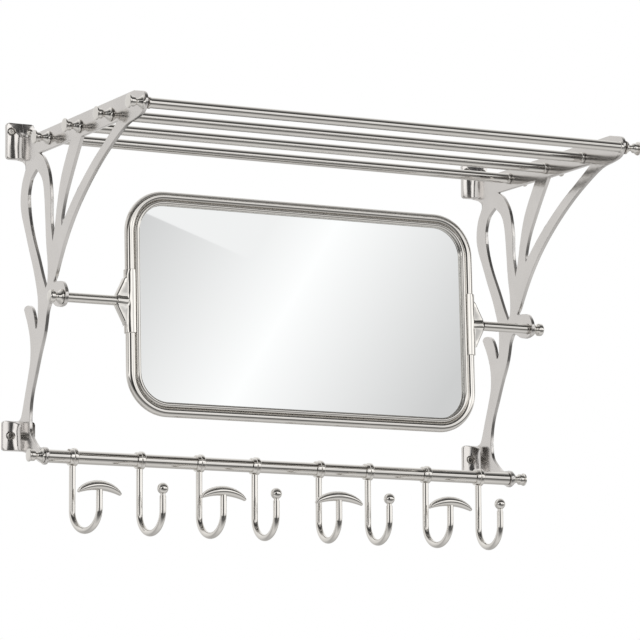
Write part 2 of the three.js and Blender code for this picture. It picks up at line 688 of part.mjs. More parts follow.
/** The saddle on the frame tube with its wing and the boss for the rod, out along +X from the tube. */
function saddleForm() {
  const apex = FRAME_TUBE_RADIUS + WING_STANDOUT;
  const sleeve = solid(cylinder(SADDLE_RADIUS, -SADDLE_LENGTH / 2, SADDLE_LENGTH / 2).applyMatrix4(UPRIGHT));
  const wing = new THREE.Shape();
  const half = WING_HEIGHT / 2;
  wing.moveTo(0, -half);
  wing.quadraticCurveTo(SADDLE_RADIUS + 1.5, -half, SADDLE_RADIUS + 2, -half * 0.85);
  wing.lineTo(apex, -ROD_BOSS_RADIUS);
  wing.lineTo(apex, ROD_BOSS_RADIUS);
  wing.lineTo(SADDLE_RADIUS + 2, half * 0.85);
  wing.quadraticCurveTo(SADDLE_RADIUS + 1.5, half, 0, half);
  wing.closePath();
  const web = solid(plate(wing, WING_THICKNESS, 5).applyMatrix4(FROM_FRONT));
  const boss = solid(cylinder(ROD_BOSS_RADIUS, 0, apex).applyMatrix4(TO_RIGHT));
  const bore = solid(cylinder(FRAME_TUBE_RADIUS + SEAT, -SADDLE_LENGTH, SADDLE_LENGTH).applyMatrix4(UPRIGHT));
  const inner = solid(
    new THREE.BoxGeometry(4 * SADDLE_RADIUS, 4 * SADDLE_RADIUS, 2 * SADDLE_LENGTH)
      .translate(-2 * SADDLE_RADIUS - SADDLE_WRAP, 0, 0),
  );
  return faceted(sleeve.add(web).add(boss).subtract(bore).subtract(inner));
}

/** The knob outside the bracket: a bell, a neck and a rounded head, along +Y. */
function knobForm() {
  const L = KNOB_LENGTH;
  return turned([
    [0, 0],
    [KNOB_BELL_RADIUS, 0],
    [KNOB_BELL_RADIUS, L * 0.08],
    [KNOB_BELL_RADIUS * 0.82, L * 0.22],
    [KNOB_NECK_RADIUS, L * 0.36],
    [KNOB_NECK_RADIUS, L * 0.46],
    [KNOB_RADIUS, L * 0.62],
    [KNOB_RADIUS, L * 0.9],
    [0, L],
  ]);
}

const saddle = saddleForm();
for (const { side, sign, outward } of SIDES) {
  const facing = saddle.clone();
  if (sign < 0) facing.rotateZ(Math.PI);
  piece('mirror_saddle_' + side, facing, nickel, mirror, [sign * TUBE_HALF_WIDTH, 0, 0]);
  const from = TUBE_HALF_WIDTH + FRAME_TUBE_RADIUS + WING_STANDOUT + SEAT;
  const rod = cylinder(ROD_RADIUS, from, SPAN / 2 + WEB / 2).applyMatrix4(outward);
  piece('trunnion_rod_' + side, rod, nickel, mirror);
  piece('trunnion_knob_' + side, knobForm().applyMatrix4(outward), nickel, mirror, [sign * OUTER_FACE, 0, 0]);
}

export default root;
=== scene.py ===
"""Dresses the wall mirror with hooks: turned and bent nickel, cast brackets, silvered glass, a studio."""

import logging
import math
from collections.abc import Callable
from dataclasses import dataclass, field
from enum import Enum
from typing import ClassVar

import bpy
from mathutils import Matrix, Vector


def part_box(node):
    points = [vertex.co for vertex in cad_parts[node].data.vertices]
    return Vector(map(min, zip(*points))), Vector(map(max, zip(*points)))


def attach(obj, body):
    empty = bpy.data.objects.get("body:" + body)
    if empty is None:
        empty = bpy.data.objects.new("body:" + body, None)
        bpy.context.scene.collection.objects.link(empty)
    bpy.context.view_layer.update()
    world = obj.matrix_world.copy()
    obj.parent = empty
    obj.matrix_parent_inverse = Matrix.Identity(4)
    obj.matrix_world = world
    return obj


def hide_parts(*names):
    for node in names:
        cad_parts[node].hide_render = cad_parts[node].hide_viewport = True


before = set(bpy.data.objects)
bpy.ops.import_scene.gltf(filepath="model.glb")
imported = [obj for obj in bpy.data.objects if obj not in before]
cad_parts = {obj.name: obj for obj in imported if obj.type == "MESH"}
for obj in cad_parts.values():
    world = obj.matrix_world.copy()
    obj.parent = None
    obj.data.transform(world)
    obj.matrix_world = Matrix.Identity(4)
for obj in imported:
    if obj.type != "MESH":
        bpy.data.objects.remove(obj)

LOG = logging.getLogger("mirror_with_hooks")
MM = 0.001
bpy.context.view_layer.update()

Profile = list[tuple[float, float]]
Colour = tuple[float, ...]


class Body(str, Enum):
    """The rigid bodies of the frame."""

    RACK = "rack"
    MIRROR = "mirror"


class Slot(str, Enum):
    """The record's material slots."""

    WEB = "web"
    NICKEL = "nickel"
    SCREW = "screw"
    GLASS = "glass"
    BOARD = "board"


class Side(Enum):
    """The two ends of the rack, each with the way that points outward along X."""

    LEFT = -1
    RIGHT = 1

    @property
    def word(self) -> str:
        """The side's name in lower case."""
        return self.name.lower()

    @property
    def outward(self) -> Matrix:
        """The turn that lays +Z along the outward direction."""
        return Matrix.Rotation(self.value * math.pi / 2, 4, "Y")


# ---------------------------------------------------------------- finishes


@dataclass
class Nodes:
    """The nodes of a material or of the world, and the steps that they are built by."""

    tree: bpy.types.NodeTree

    @classmethod
    def start(cls, name: str) -> tuple[bpy.types.Material, "Nodes", bpy.types.Node]:
        """Starts a node material.

        Args:
            name: the material's name.

        Returns:
            The material, its nodes and its shader.
        """
        material = bpy.data.materials.new(name)
        material.use_nodes = True
        return material, cls(material.node_tree), material.node_tree.nodes["Principled BSDF"]

    def new(self, kind: str) -> bpy.types.Node:
        """Adds a node of a kind, which is named without the word that they all start with."""
        return self.tree.nodes.new(f"ShaderNode{kind}")

    def link(self, source: bpy.types.NodeSocket, target: bpy.types.NodeSocket) -> None:
        """Links two sockets."""
        self.tree.links.new(source, target)

    def grain(self, scale: float, detail: float = 2.0) -> bpy.types.Node:
        """Adds noise that lies still in the piece.

        Args:
            scale: how fine the noise is.
            detail: how many finer layers it has.

        Returns:
            The noise node.
        """
        noise = self.new("TexNoise")
        noise.inputs["Scale"].default_value = scale
        noise.inputs["Detail"].default_value = detail
        self.link(self.new("TexCoord").outputs["Object"], noise.inputs["Vector"])
        return noise

    def spread(
        self, noise: bpy.types.Node, values: tuple[float, float], target: bpy.types.NodeSocket
    ) -> None:
        """Spreads a socket's value by noise.

        Args:
            noise: the noise node.
            values: the least and the greatest value.
            target: the socket.
        """
        share = self.new("MapRange")
        share.inputs["To Min"].default_value, share.inputs["To Max"].default_value = values
        self.link(noise.outputs["Fac"], share.inputs["Value"])
        self.link(share.outputs["Result"], target)

    def tones(
        self,
        noise: bpy.types.Node,
        stops: tuple[tuple[float, Colour], tuple[float, Colour]],
        target: bpy.types.NodeSocket,
    ) -> None:
        """Blends a socket between two colours by noise.

        Args:
            noise: the noise node.
            stops: where each colour is reached, and the colour.
            target: the socket.
        """
        tone = self.new("ValToRGB")
        for element, (position, colour) in zip(tone.color_ramp.elements, stops):
            element.position = position
            element.color = (*colour, 1)
        self.link(noise.outputs["Fac"], tone.inputs["Fac"])
        self.link(tone.outputs["Color"], target)

    def relief(
        self, noise: bpy.types.Node, strength: float, height: float, target: bpy.types.NodeSocket
    ) -> None:
        """Raises the surface a little by noise.

        Args:
            noise: the noise node.
            strength: how much of the relief shows.
            height: the relief's full height in metres.
            target: the shader's normal.
        """
        bump = self.new("Bump")
        bump.inputs["Strength"].default_value = strength
        bump.inputs["Distance"].default_value = height
        self.link(noise.outputs["Fac"], bump.inputs["Height"])
        self.link(bump.outputs["Normal"], target)

    def either(
        self,
        chosen_when: bpy.types.NodeSocket,
        plain: bpy.types.NodeSocket,
        chosen: bpy.types.NodeSocket,
    ) -> bpy.types.NodeSocket:
        """Adds a choice between two shaders.

        Args:
            chosen_when: 0 for the plain one, 1 for the chosen one.
            plain: the plain shader.
            chosen: the chosen shader.

        Returns:
            The socket of the result.
        """
        choice = self.new("MixShader")
        for source, target in zip((chosen_when, plain, chosen), choice.inputs):
            self.link(source, target)
        return choice.outputs[0]

    def worked(self, operation: str, *values: bpy.types.NodeSocket) -> bpy.types.NodeSocket:
        """Adds a sum on one or two values and returns its result's socket."""
        step = self.new("Math")
        step.operation = operation
        for source, target in zip(values, step.inputs):
            self.link(source, target)
        return step.outputs[0]


@dataclass(frozen=True)
class PolishedNickel:
    """Nickel plate buffed to a mirror, with faint buffing marks and a slow waviness.

    The tint is the plate's own reflected colour, the cloud how much darker its cloudy spots are, the buff
    how far the marks change its roughness, and the ripple how much its waviness shows.
    """

    name: str
    tint: Colour = (0.77, 0.75, 0.72)
    roughness: float = 0.06
    buff: float = 0.2
    buff_scale: float = 420.0
    ripple: float = 0.03
    ripple_scale: float = 45.0
    ripple_height: float = 0.002
    cloud: float = 0.05
    cloud_scale: float = 38.0

    def build(self) -> bpy.types.Material:
        """Makes the node material.

        Returns:
            The finished material.
        """
        material, nodes, shader = Nodes.start(self.name)
        shader.inputs["Metallic"].default_value = 1.0
        dull = tuple(channel * (1 - self.cloud) for channel in self.tint)
        clouds = nodes.grain(self.cloud_scale, detail=4.0)
        nodes.tones(clouds, ((0.3, dull), (0.7, self.tint)), shader.inputs["Base Color"])
        marks = nodes.grain(self.buff_scale, detail=3.0)
        span = (self.roughness * (1 - self.buff), self.roughness * (1 + self.buff))
        nodes.spread(marks, span, shader.inputs["Roughness"])
        waves = nodes.grain(self.ripple_scale, detail=1.0)
        nodes.relief(waves, self.ripple, self.ripple_height, shader.inputs["Normal"])
        return material


@dataclass(frozen=True)
class SilveredGlass:
    """Mirror glass: silver behind a clear pane, with the faintest haze."""

    name: str = "silvered_glass"
    tint: Colour = (0.90, 0.91, 0.91)
    roughness: tuple[float, float] = (0.004, 0.012)
    haze_scale: float = 9.0

    def build(self) -> bpy.types.Material:
        """Makes the node material.

        Returns:
            The finished material.
        """
        material, nodes, shader = Nodes.start(self.name)
        shader.inputs["Metallic"].default_value = 1.0
        shader.inputs["Base Color"].default_value = (*self.tint, 1)
        haze = nodes.grain(self.haze_scale)
        nodes.spread(haze, self.roughness, shader.inputs["Roughness"])
        return material


@dataclass(frozen=True)
class PressedBoard:
    """The dark pressed board behind the glass, with short fibres that lie all ways."""

    name: str = "pressed_board"
    dark: Colour = (0.030, 0.026, 0.022)
    light: Colour = (0.075, 0.066, 0.055)
    roughness: float = 0.82
    fibre_scale: float = 260.0
    fibre_twist: float = 2.5
    fibre_show: float = 0.35
    fibre_height: float = 0.0004

    def build(self) -> bpy.types.Material:
        """Makes the node material.

        Returns:
            The finished material.
        """
        material, nodes, shader = Nodes.start(self.name)
        shader.inputs["Roughness"].default_value = self.roughness
        fibres = nodes.grain(self.fibre_scale, detail=6.0)
        fibres.inputs["Distortion"].default_value = self.fibre_twist
        nodes.tones(fibres, ((0.35, self.dark), (0.68, self.light)), shader.inputs["Base Color"])
        nodes.relief(fibres, self.fibre_show, self.fibre_height, shader.inputs["Normal"])
        return material


@dataclass
class Finishes:
    """Every finish of the rack, made once."""

    web: bpy.types.Material = field(init=False)
    nickel: bpy.types.Material = field(init=False)
    screw: bpy.types.Material = field(init=False)
    glass: bpy.types.Material = field(init=False)
    board: bpy.types.Material = field(init=False)

    def __post_init__(self) -> None:
        """Builds the materials."""
        web_tint, screw_tint = (0.70, 0.68, 0.665), (0.58, 0.56, 0.53)
        self.web = PolishedNickel("plate_nickel", tint=web_tint, roughness=0.15, ripple=0.05).build()
        self.nickel = PolishedNickel("buffed_nickel").build()
        self.screw = PolishedNickel("screw_nickel", tint=screw_tint, roughness=0.2).build()
        self.glass = SilveredGlass().build()
        self.board = PressedBoard().build()

    def of(self, slot: Slot) -> bpy.types.Material:
        """The material of a slot.

        Args:
            slot: the record's slot.

        Returns:
            Its material.
        """
        return getattr(self, slot.value)

    def dress(self, piece: bpy.types.Object, slot: Slot, body: Body, node: str) -> bpy.types.Object:
        """Gives a piece its finish and its body, and hides the CAD node that it stands for.

        Args:
            piece: the object.
            slot: the record's slot of its finish.
            body: the body that it rides on.
            node: the CAD node that it replaces.

        Returns:
            The same object.
        """
        piece.data.materials.clear()
        piece.data.materials.append(self.of(slot))
        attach(piece, body.value)
        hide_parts(node)
        LOG.info("made %s on %s", piece.name, body.value)
        return piece

    def set_copy(
        self, pattern: bpy.types.Object, name: str, where: Matrix, slot: Slot, node: str
    ) -> None:
        """Sets a copy of a pattern on the rack.

        Args:
            pattern: the piece to copy.
            name: the copy's name.
            where: its place in the part's frame.
            slot: the record's slot of its finish.
            node: the CAD node that it replaces.
        """
        self.dress(Bench.place(Bench.copied(pattern, name), where), slot, Body.RACK, node)


# ---------------------------------------------------------------- the bench


class Bench:
    """Modelling by hand: primitives shaped in edit mode, then placed with their place in the mesh."""

    SMOOTH_ANGLE = math.radians(32)
    SHARP_ANGLE = math.radians(38)
    FLAT_ANGLE = math.radians(0.5)
    SEAM = 1e-5
    SHORTEST_SHARE = 0.4
    CRISP_SHARE = 0.2

    @staticmethod
    def clear() -> None:
        """Leaves edit mode and deselects everything."""
        if bpy.context.mode != "OBJECT":
            bpy.ops.object.mode_set(mode="OBJECT")
        bpy.ops.object.select_all(action="DESELECT")

    @classmethod
    def take(cls, piece: bpy.types.Object) -> None:
        """Makes one object the selected and active one.

        Args:
            piece: the object to work on.
        """
        cls.clear()
        piece.select_set(True)
        bpy.context.view_layer.objects.active = piece

    @staticmethod
    def extrude(move: tuple[float, float, float]) -> None:
        """Extrudes what is selected by a move, in metres."""
        bpy.ops.mesh.extrude_region_move(TRANSFORM_OT_translate={"value": move})

    @classmethod
    def draw_out(cls, profile: Profile) -> None:
        """Draws what is selected along +Z, station by station, and sizes it at each.

        Args:
            profile: (radius, distance) stations in millimetres; it has the first one's radius already.
        """
        radius, height = profile[0]
        bpy.ops.transform.translate(value=(0, 0, height * MM))
        for next_radius, next_height in profile[1:]:
            cls.extrude((0, 0, (next_height - height) * MM))
            if next_radius != radius:
                share = next_radius / radius
                bpy.ops.transform.resize(value=(share, share, 1), center_override=(0, 0, next_height * MM))
            radius, height = next_radius, next_height

    @classmethod
    def disc(cls, radius: float, sides: int, hollow: bool = False) -> bpy.types.Object:
        """Starts a piece from a disc at the origin and enters edit mode with all of it selected.

        Args:
            radius: the disc's radius.
            sides: how many corners its rim has.
            hollow: True for the rim alone.

        Returns:
            The new object.
        """
        cls.clear()
        fill = "NOTHING" if hollow else "NGON"
        bpy.ops.mesh.primitive_circle_add(vertices=sides, radius=radius, fill_type=fill)
        piece = bpy.context.active_object
        bpy.ops.object.mode_set(mode="EDIT")
        bpy.ops.mesh.select_mode(type="EDGE" if hollow else "FACE")
        bpy.ops.mesh.select_all(action="SELECT")
        return piece

    @classmethod
    def close(cls, piece: bpy.types.Object, name: str) -> bpy.types.Object:
        """Merges doubles, turns faces outward, smooths the piece and leaves edit mode.

        Args:
            piece: the object in edit mode.
            name: its name from now on.

        Returns:
            The same object.
        """
        bpy.ops.mesh.select_all(action="SELECT")
        bpy.ops.mesh.remove_doubles(threshold=1e-6)
        bpy.ops.mesh.normals_make_consistent(inside=False)
        bpy.ops.object.mode_set(mode="OBJECT")
        cls.take(piece)
        bpy.ops.object.shade_smooth_by_angle(angle=cls.SMOOTH_ANGLE)
        piece.name = name
        piece.data.name = name
        return piece

    @classmethod
    def turned(cls, name: str, profile: Profile, sides: int = 48) -> bpy.types.Object:
        """Turns a piece along +Z: a disc drawn out station by station and sized at each.

        Args:
            name: the piece's name.
            profile: (radius, distance) stations in millimetres.
            sides: facets round the piece.

        Returns:
            The new object.
        """
        piece = cls.disc(profile[0][0] * MM, sides)
        cls.draw_out(profile)
        return cls.close(piece, name)

    @classmethod
    def soften(
        cls, piece: bpy.types.Object, edge: float, pitch: float, crisp: Callable[[Vector], bool]
    ) -> None:
        """Merges a piece's mesh, cuts its flat faces into short strips and rounds its sharp edges over.

        Args:
            piece: the object.
            edge: how wide the rounding is, in millimetres.
            pitch: how far apart the cuts are, in millimetres.
            crisp: tells whether the edges at a place stay nearly sharp.
        """
        cls.take(piece)
        corners = [Vector(corner) for corner in piece.bound_box]
        bpy.ops.object.mode_set(mode="EDIT")
        bpy.ops.mesh.select_all(action="SELECT")
        bpy.ops.mesh.remove_doubles(threshold=cls.SEAM)
        bpy.ops.mesh.dissolve_limited(angle_limit=cls.FLAT_ANGLE)
        for axis, normal in ((1, (0, 1, 0)), (2, (0, 0, 1))):
            low, high = min(c[axis] for c in corners), max(c[axis] for c in corners)
            for k in range(1, int((high - low) / (pitch * MM)) + 1):
                bpy.ops.mesh.select_all(action="SELECT")
                spot = [0.0, 0.0, 0.0]
                spot[axis] = low + k * pitch * MM
                bpy.ops.mesh.bisect(plane_co=spot, plane_no=normal)
        bpy.ops.mesh.select_all(action="SELECT")
        bpy.ops.mesh.remove_doubles(threshold=edge * cls.SHORTEST_SHARE * MM)
        bpy.ops.mesh.quads_convert_to_tris(quad_method="BEAUTY", ngon_method="BEAUTY")
        bpy.ops.mesh.select_mode(type="EDGE")
        bpy.ops.mesh.select_all(action="DESELECT")
        bpy.ops.mesh.edges_select_sharp(sharpness=cls.SHARP_ANGLE)
        bpy.ops.transform.edge_bevelweight(value=1.0)
        bpy.ops.mesh.select_all(action="DESELECT")
        bpy.ops.object.mode_set(mode="OBJECT")
        mesh = piece.data
        for line in mesh.edges:
            middle = (mesh.vertices[line.vertices[0]].co + mesh.vertices[line.vertices[1]].co) / 2
            line.select = crisp(middle)
        bpy.ops.object.mode_set(mode="EDIT")
        bpy.ops.transform.edge_bevelweight(value=cls.CRISP_SHARE - 1)
        bpy.ops.object.mode_set(mode="OBJECT")
        bevel = piece.modifiers.new("edge", "BEVEL")
        bevel.width = edge * MM
        bevel.segments = 3
        bevel.limit_method = "WEIGHT"
        bevel.use_clamp_overlap = False
        bpy.ops.object.modifier_apply(modifier=bevel.name)
        bpy.ops.object.shade_smooth_by_angle(angle=cls.SMOOTH_ANGLE)
        weighted = piece.modifiers.new("flats", "WEIGHTED_NORMAL")
        weighted.keep_sharp = True
        bpy.ops.object.modifier_apply(modifier=weighted.name)

    @classmethod
    def place(cls, piece: bpy.types.Object, where: Matrix) -> bpy.types.Object:
        """Puts a piece in its place and writes the place into its mesh.

        Args:
            piece: the object.
            where: its place in the part's frame.

        Returns:
            The same object.
        """
        cls.take(piece)
        piece.matrix_world = where
        bpy.context.view_layer.update()
        bpy.ops.object.transform_apply(location=True, rotation=True, scale=True)
        return piece

    @classmethod
    def copied(cls, pattern: bpy.types.Object, name: str) -> bpy.types.Object:
        """Copies a piece with a mesh of its own.

        Args:
            pattern: the piece to copy.
            name: the copy's name.

        Returns:
            The copy.
        """
        twin = pattern.copy()
        twin.data = pattern.data.copy()
        twin.name = name
        twin.data.name = name
        bpy.context.scene.collection.objects.link(twin)
        return twin

    @classmethod
    def from_cad(cls, node: str, name: str) -> bpy.types.Object:
        """Copies a CAD node as a free piece.

        Args:
            node: the node.
            name: the copy's name.

        Returns:
            The copy, with no parent and none of the node's own properties.
        """
        piece = cls.copied(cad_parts[node], name)
        piece.parent = None
        for key in list(piece.keys()):
            del piece[key]
        return piece

    @staticmethod
    def discard(piece: bpy.types.Object) -> None:
        """Deletes a pattern once its copies are made."""
        mesh = piece.data
        bpy.data.objects.remove(piece)
        bpy.data.meshes.remove(mesh)


def centre_of(node: str) -> Vector:
    """The middle of a CAD node's box."""
    low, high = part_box(node)
    return (low + high) / 2


# ---------------------------------------------------------------- brackets


@dataclass
class Brackets:
    """The two cast brackets and their wall screws."""

    finishes: Finishes
    edge_round: float = 0.8
    slice_pitch: float = 14.0
    screw_head_radius: float = 4.0
    screw_shank_radius: float = 2.2
    screw_head_depth: float = 2.6
    wall_plate: float = 5.0
    cross_half_width: float = 0.5
    cross_reach: float = 2.0
    cross_depth: float = 1.5
    cross_foot: float = 0.7
    first_turn: float = 20
    next_turn: float = 53
    crisp_reach: float = 6.4
    SCREWS: ClassVar[tuple[str, ...]] = ("upper_outer", "upper_inner", "lower_outer", "lower_inner")

    def casting(self, side: Side) -> bpy.types.Object:
        """Rounds over the edges of a merged copy of the casting.

        Args:
            side: which bracket.

        Returns:
            The finished casting.
        """
        node = f"{side.word}_bracket"
        piece = Bench.from_cad(node, f"{side.word}_casting")
        screws = [centre_of(f"{side.word}_screw_{place}") for place in self.SCREWS]
        Bench.soften(
            piece,
            self.edge_round,
            self.slice_pitch,
            crisp=lambda spot: any((spot - screw).xz.length < self.crisp_reach * MM for screw in screws),
        )
        return self.finishes.dress(piece, Slot.WEB, Body.RACK, node)

    def screw(self) -> bpy.types.Object:
        """Turns a raised countersunk screw and sinks the cross in its head.

        Returns:
            The screw along +Z, its foot at the wall.
        """
        shank, head, face = self.screw_shank_radius, self.screw_head_radius, self.wall_plate
        piece = Bench.turned(
            "screw_pattern",
            [
                (shank, 0.3), (shank, face - self.screw_head_depth), (head - 0.15, face - 0.1),
                (head, face + 0.05), (head - 0.12, face + 0.2), (head * 0.8, face + 0.5),
                (head * 0.62, face + 0.68), (head * 0.56, face + 0.7),
            ],
            sides=32,
        )
        Bench.take(piece)
        bpy.ops.object.mode_set(mode="EDIT")
        bpy.ops.mesh.select_mode(type="FACE")
        sides = (self.cross_half_width, self.cross_reach)
        for axis, offset in ((axis, way * side) for axis in (0, 1) for way in (-1, 1) for side in sides):
            self.pick_top(piece)
            spot, normal = [0.0, 0.0, 0.0], [0.0, 0.0, 0.0]
            spot[axis], normal[axis] = offset * MM, 1.0
            bpy.ops.mesh.bisect(plane_co=spot, plane_no=normal)
        self.pick_top(piece, cross=True)
        Bench.extrude((0, 0, -self.cross_depth * MM))
        bpy.ops.transform.resize(value=(self.cross_foot, self.cross_foot, 1), center_override=(0, 0, 0))
        return Bench.close(piece, "screw_pattern")

    def pick_top(self, piece: bpy.types.Object, cross: bool = False) -> None:
        """Selects the flat faces of a screw's top.

        Args:
            piece: the screw, in edit mode.
            cross: True for those inside the cross alone.
        """
        bpy.ops.mesh.select_all(action="DESELECT")
        bpy.ops.object.mode_set(mode="OBJECT")
        for face in piece.data.polygons:
            picked = face.normal.z > 0.99 and face.center.z > self.wall_plate * MM
            near, far = sorted((abs(face.center.x), abs(face.center.y)))
            inside = near < self.cross_half_width * MM and far < self.cross_reach * MM
            face.select = picked and (inside or not cross)
        bpy.ops.object.mode_set(mode="EDIT")

    def screws(self) -> None:
        """Sets a screw in each countersunk hole, its cross as it happened to stop."""
        pattern = self.screw()
        turn = self.first_turn
        for side in Side:
            for place in self.SCREWS:
                node = f"{side.word}_screw_{place}"
                where = centre_of(node)
                lay = (
                    Matrix.Translation((where.x, 0, where.z))
                    @ Matrix.Rotation(math.pi / 2, 4, "X")
                    @ Matrix.Rotation(math.radians(turn), 4, "Z")
                )
                self.finishes.set_copy(pattern, f"{side.word}_crossed_screw_{place}", lay, Slot.SCREW, node)
                turn += self.next_turn
        Bench.discard(pattern)

    def build(self) -> None:
        """Makes both castings and all the screws."""
        for side in Side:
            self.casting(side)
        self.screws()


# ---------------------------------------------------------------- rails and finials


@dataclass(frozen=True)
class Finial:
    """A turned finial, by its length and its radii from the web outward."""

    length: float
    rim: float
    waist: float
    drum: float
    cap: float
    DRAWN_LENGTH: ClassVar[float] = 17.5

    def profile(self) -> Profile:
        """The finial's outline: a bell against the web, a waist, a drum and a thin domed cap.

        Returns:
            The profile in millimetres.
        """
        rim, waist, drum, cap = self.rim, self.waist, self.drum, self.cap
        drawn = [
            (rim - 0.3, 0.0), (rim, 0.25), (rim, 1.2), (rim - 0.35, 1.6), (rim - 1.5, 2.4),
            ((rim + waist) / 2, 3.6), (waist + 0.8, 4.9), (waist + 0.2, 6.1), (waist, 7.0),
            (waist + 0.1, 7.8), (waist + 0.6, 8.6), (drum - 0.7, 9.4), (drum - 0.15, 10.0), (drum, 10.6),
            (drum, 13.7), (drum - 0.2, 14.2), (drum - 0.4, 14.5), (drum - 0.3, 14.8), (cap - 0.9, 15.0),
            (cap - 0.2, 15.3), (cap, 15.8), (cap, 16.6), (cap - 0.25, 17.0), (cap - 0.9, 17.25),
            (cap * 0.55, 17.42), (0.4, 17.5),
        ]
        return [(radius, along * self.length / self.DRAWN_LENGTH) for radius, along in drawn]


@dataclass
class RailRack:
    """The four shelf rails, the hook rail and the turned finials outside the brackets."""

    finishes: Finishes
    rails: int = 4
    rail_radius: float = 5.5
    rail_collar_radius: float = 6.2
    hook_rail_radius: float = 7.0
    shelf_finial: Finial = Finial(length=17.5, rim=7.2, waist=3.3, drum=5.3, cap=7.3)
    hook_finial: Finial = Finial(length=17.0, rim=7.6, waist=3.8, drum=6.0, cap=6.9)

    def rail(self, node: str, name: str, radius: float, collar: float) -> bpy.types.Object:
        """Turns a rail with a rounded collar at each end, between the webs.

        Args:
            node: the CAD node that gives its place and length.
            name: the piece's name.
            radius: the rail's radius.
            collar: the collar's radius; the same as the rail's for a plain rail.

        Returns:
            The finished rail.
        """
        low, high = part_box(node)
        half = (high.x - low.x) / 2 / MM
        ends = [
            (collar - 0.6, 0.0), (collar - 0.15, 0.2), (collar, 0.6), (collar, 2.2), (collar - 0.2, 2.7),
            (radius, 3.0),
        ]
        if collar <= radius:
            ends = [(radius - 0.5, 0.0), (radius, 0.5)]
        profile = [(r, -half + d) for r, d in ends] + [(r, half - d) for r, d in reversed(ends)]
        piece = Bench.turned(name, profile)
        Bench.place(piece, Matrix.Translation(centre_of(node)) @ Side.RIGHT.outward)
        return self.finishes.dress(piece, Slot.NICKEL, Body.RACK, node)

    def finials(self) -> None:
        """Sets a finial at each end of each rail."""
        pattern = Bench.turned("finial_pattern", self.shelf_finial.profile())
        for number in range(1, self.rails + 1):
            for side in Side:
                self.set_finial(pattern, f"finial_{side.word}_{number}", side)
        Bench.discard(pattern)
        pattern = Bench.turned("finial_pattern", self.hook_finial.profile())
        for side in Side:
            self.set_finial(pattern, f"hook_rail_finial_{side.word}", side)
        Bench.discard(pattern)

    def set_finial(self, pattern: bpy.types.Object, node: str, side: Side) -> None:
        """Copies a finial to the place of a CAD node.

        Args:
            pattern: the finial along +Z.
            node: the node that it replaces.
            side: the end of the rack that it is on.
        """
        low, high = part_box(node)
        base = low.x if side is Side.RIGHT else high.x
        middle = (low + high) / 2
        lay = Matrix.Translation((base, middle.y, middle.z)) @ side.outward
        self.finishes.set_copy(pattern, f"turned_{node}", lay, Slot.NICKEL, node)

    def build(self) -> None:
        """Makes the rails and finials."""
        radius, collar, plain = self.rail_radius, self.rail_collar_radius, self.hook_rail_radius
        for number in range(1, self.rails + 1):
            self.rail(f"shelf_rail_{number}", f"turned_rail_{number}", radius, collar)
        self.rail("hook_rail", "turned_hook_rail", plain, plain)
        self.finials()


# ---------------------------------------------------------------- hooks


class HookEnd(Enum):
    """What a hook's front leg ends in."""

    CRESCENT = "cap"
    BALL = "ball"


